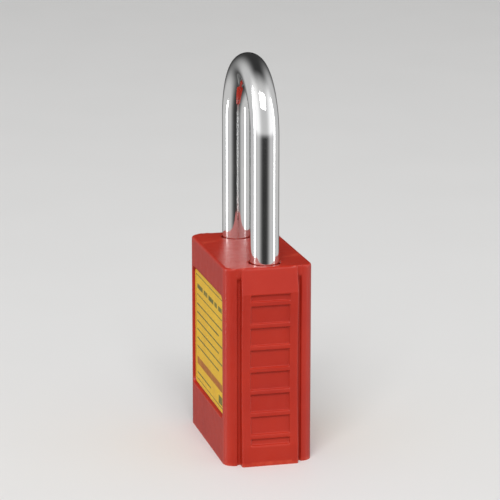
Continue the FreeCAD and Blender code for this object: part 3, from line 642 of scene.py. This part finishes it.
def build_shackle_spring(material):
    """The coil under the heel leg, with close end turns."""
    low, high = box_mm("shackle_spring")
    axis = (low.x + high.x) / 2
    wire, turns, per_turn, sides, closeness = 0.4, 8, 48, 16, 0.4
    mean_radius = (high.x - low.x) / 2 - wire
    mesh = bmesh.new()
    rows = []
    for i in range(turns * per_turn + 1):
        share = i / (turns * per_turn)
        rise = share - closeness * math.sin(2 * math.pi * share) / (2 * math.pi)
        middle_height = low.z + wire + (high.z - low.z - 2 * wire) * rise
        turn = 2 * math.pi * turns * share
        ring = []
        for side in range(sides):
            angle = 2 * math.pi * side / sides
            reach = mean_radius + wire * math.cos(angle)
            ring.append((axis + reach * math.cos(turn), reach * math.sin(turn),
                         middle_height + wire * math.sin(angle)))
        rows.append(add_ring(mesh, ring))
    for lower, upper in zip(rows, rows[1:]):
        bridge(mesh, lower, upper)
    for end in (rows[0], rows[-1]):
        mesh.faces.new(end)
    bmesh.ops.recalc_face_normals(mesh, faces=mesh.faces)
    piece = make_piece("lift_spring", mesh, material)
    shade(piece, 60)
    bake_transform(piece)
    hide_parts("shackle_spring")


# ---- pieces with softened edges, and CAD nodes that are kept ----

def soften(name, node, body, material, width):
    """A copy of a CAD node's shape with its edges broken, standing for that node."""
    same_point = 0.000002
    mesh = bmesh.new()
    mesh.from_mesh(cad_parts[node].data)
    bmesh.ops.remove_doubles(mesh, verts=mesh.verts, dist=same_point)
    bmesh.ops.dissolve_limit(mesh, angle_limit=math.radians(0.5), verts=mesh.verts, edges=mesh.edges)
    bmesh.ops.scale(mesh, vec=(1 / MM, 1 / MM, 1 / MM), verts=mesh.verts)
    piece = make_piece(name, mesh, material, body)
    bevel = piece.modifiers.new("edges", "BEVEL")
    bevel.width = width * MM
    bevel.segments = 3
    bevel.limit_method = "ANGLE"
    bevel.angle_limit = math.radians(40)
    bevel.use_clamp_overlap = True
    shade(piece, 35)
    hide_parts(node)


def dress(node, material):
    """Give a kept CAD node a material."""
    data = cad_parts[node].data
    data.materials.clear()
    data.materials.append(material)


def build_label(name, node, front, material):
    """A thin sheet with round corners and a slightly softened printed edge."""
    low, high = box_mm(node)
    face, back = (low.y, high.y) if front else (high.y, low.y)
    out = -1 if front else 1
    middle = (low.z + high.z) / 2
    corner = 1.2
    plan = rounded_rectangle(high.x, (high.z - low.z) / 2, corner)
    # Each ring of the sheet: its inset from the outline, then its place in Y.
    layers = ((0.0, back), (0.0, face - out * 0.06), (0.02, face - out * 0.02), (0.06, face), (0.3, face))
    mesh = bmesh.new()
    rows = [add_ring(mesh, [(point.x - normal.x * inset, depth, middle + point.y - normal.y * inset)
                            for point, normal in plan]) for inset, depth in layers]
    for lower, upper in zip(rows, rows[1:]):
        bridge(mesh, lower, upper)
    fill_flat(mesh, [rows[-1]])
    fill_flat(mesh, [rows[0]])
    bmesh.ops.recalc_face_normals(mesh, faces=mesh.faces)
    piece = make_piece(name, mesh, material, "body")
    shade(piece, 50)
    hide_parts(node)


# ---- stage, light and camera ----

CAMERA_AZIMUTH, CAMERA_ELEVATION = 76, 13.5
CAMERA_DISTANCE, CAMERA_LENS = 0.5, 160
BACKDROP = (0.80, 0.80, 0.79)
SOFT_LIGHT = 0.62


def towards_place(azimuth, elevation):
    """The direction from the lock to a place; azimuth 0 is in front of it, 90 on the toe side."""
    turn, rise = math.radians(azimuth), math.radians(elevation)
    return Vector((math.sin(turn) * math.cos(rise), -math.cos(turn) * math.cos(rise), math.sin(rise)))


def build_floor():
    """A pale painted floor, which polished metal does not mirror."""
    mesh = bmesh.new()
    bmesh.ops.create_grid(mesh, x_segments=8, y_segments=8, size=6.0)
    data = bpy.data.meshes.new("floor")
    mesh.to_mesh(data)
    mesh.free()
    material = new_material("floor_paint", (0.78, 0.776, 0.768), 0.62)
    feed(material, "Roughness", remap(material, noise(material, 30, 3), 0.6, 0.65))
    data.materials.append(material)
    floor = bpy.data.objects.new("floor", data)
    floor.visible_glossy = False
    bpy.context.scene.collection.objects.link(floor)
    return floor


def add_softbox(name, azimuth, elevation, distance, width, height, power, target):
    """A rectangular light that faces the target."""
    away = towards_place(azimuth, elevation)
    light = bpy.data.lights.new(name, "AREA")
    light.shape = "RECTANGLE"
    light.size, light.size_y = width, height
    light.energy = power
    lamp = bpy.data.objects.new(name, light)
    lamp.location = target + away * distance
    lamp.rotation_mode = "QUATERNION"
    lamp.rotation_quaternion = away.to_track_quat("Z", "Y")
    bpy.context.scene.collection.objects.link(lamp)
    return lamp


def spare(lamps, floor):
    """Keep low lamps off the floor, where they would draw bright patches with hard ends."""
    spared = bpy.data.collections.new("spared_floor")
    spared.objects.link(floor)
    spared.collection_objects[0].light_linking.link_state = "EXCLUDE"
    for lamp in lamps:
        lamp.light_linking.receiver_collection = spared


def build_world():
    """A pale backdrop for the camera, an even surround for soft light, and a studio for reflections.

    The studio is light at both sides, light above the horizon on the camera's side and dark below it,
    which draws the dark stripe down the middle of a polished leg and the bright patch on the bend.
    """
    world = bpy.data.worlds.new("studio")
    world.use_nodes = True
    tree = world.node_tree
    turn = math.radians(CAMERA_AZIMUTH)
    sideways, towards = (math.cos(turn), math.sin(turn), 0), (math.sin(turn), -math.cos(turn), 0)

    def node(kind, inputs, **settings):
        item = tree.nodes.new(kind)
        for name, value in settings.items():
            setattr(item, name, value)
        for name, value in inputs.items():
            if isinstance(value, bpy.types.NodeSocket):
                tree.links.new(value, item.inputs[name])
            else:
                item.inputs[name].default_value = value
        return item

    direction = node("ShaderNodeTexCoord", {}).outputs["Generated"]

    def share_along(axis, low, high, power=1):
        """0 to 1 as the power of the direction's part along the axis goes from low to high."""
        dot = node("ShaderNodeVectorMath", {0: direction, 1: axis}, operation="DOT_PRODUCT")
        bent = node("ShaderNodeMath", {0: dot.outputs["Value"], 1: power}, operation="POWER")
        return node("ShaderNodeMapRange", {"Value": bent.outputs[0], "From Min": low, "From Max": high},
                    interpolation_type="SMOOTHSTEP").outputs["Result"]

    def calculate(operation, first, second, third=0.0):
        return node("ShaderNodeMath", {0: first, 1: second, 2: third}, operation=operation).outputs[0]

    light, dark = 0.75, 0.05
    above = calculate("MULTIPLY", share_along((0, 0, 1), -0.18, 0.0), share_along(towards, -0.3, 0.4))
    studio = calculate("MULTIPLY_ADD", share_along(sideways, 0.0, 0.6, 2), light, dark)
    studio = calculate("MULTIPLY_ADD", above, light, studio)
    rays = node("ShaderNodeLightPath", {}).outputs
    soft = calculate("SUBTRACT", SOFT_LIGHT, studio)
    strength = calculate("MULTIPLY_ADD", rays["Is Diffuse Ray"], soft, studio)
    surround = node("ShaderNodeBackground", {"Strength": strength})
    backdrop = tree.nodes["Background"]
    backdrop.inputs["Color"].default_value = (*BACKDROP, 1)
    chooser = node("ShaderNodeMixShader", {0: rays["Is Camera Ray"], 1: surround.outputs[0],
                                           2: backdrop.outputs[0]})
    tree.links.new(chooser.outputs[0], tree.nodes["World Output"].inputs["Surface"])
    bpy.context.scene.world = world


def build_camera(target):
    """The photograph's direction and distance: 14 degrees off the narrow side, 13.5 degrees above."""
    away = towards_place(CAMERA_AZIMUTH, CAMERA_ELEVATION)
    data = bpy.data.cameras.new("camera")
    data.lens = CAMERA_LENS
    data.clip_start, data.clip_end = 0.05, 50
    camera = bpy.data.objects.new("camera", data)
    camera.location = target + away * CAMERA_DISTANCE
    camera.rotation_mode = "QUATERNION"
    camera.rotation_quaternion = (-away).to_track_quat("-Z", "Y")
    bpy.context.scene.collection.objects.link(camera)
    bpy.context.scene.camera = camera


red = red_nylon()
zinc = metal("cast_zinc", (0.56, 0.56, 0.55), (0.42, 0.42, 0.42), 0.45, 900)
steel = metal("plated_steel", (0.55, 0.55, 0.54), (0.42, 0.42, 0.42), 0.37, 1200)
ground_steel = metal("ground_steel", (0.72, 0.72, 0.72), (0.62, 0.62, 0.62), 0.12, 1500)
spring_steel = metal("spring_wire", (0.58, 0.58, 0.58), (0.44, 0.44, 0.44), 0.20, 2500)
brass = turned_brass("housing_brass", (0.74, 0.54, 0.24), (0.58, 0.40, 0.16))
bright_brass = turned_brass("plug_brass", (0.82, 0.63, 0.32), (0.66, 0.47, 0.20))
print_face = label_print()

build_shell(red)
build_shackle(chrome())
build_shackle_spring(spring_steel)
build_label("front_label", "label_front", True, print_face)
build_label("back_label", "label_back", False, print_face)
soften("cover", "base_cover", "body", red, 0.2)
soften("frame_block", "lock_frame", "body", zinc, 0.15)
soften("housing", "cylinder_housing", "body", brass, 0.12)
soften("plug_core", "plug", "plug", bright_brass, 0.08)
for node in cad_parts:
    if node.startswith(("key_pin", "driver_pin", "chamber_cap")):
        dress(node, bright_brass)
    elif "spring" in node or node == "plug_clip":
        dress(node, spring_steel)
    elif node.endswith("ball"):
        dress(node, ground_steel)
    elif node in ("actuator", "cylinder_screw", "shackle_retaining_pin"):
        dress(node, steel)

middle = (cad_box[0] + cad_box[1]) / 2
floor = build_floor()
build_world()
build_camera(middle)
side_boxes = [add_softbox("left_box", azimuth=-8, elevation=5, distance=0.8,
                          width=0.16, height=1.0, power=2.6, target=middle),
              add_softbox("right_box", azimuth=158, elevation=5, distance=0.8,
                          width=0.12, height=1.0, power=1.6, target=middle)]
spare(side_boxes, floor)
add_softbox("key_box", azimuth=74, elevation=48, distance=2.0,
            width=1.25, height=0.875, power=31.0, target=middle)
bpy.context.scene.view_settings.view_transform = "Standard"
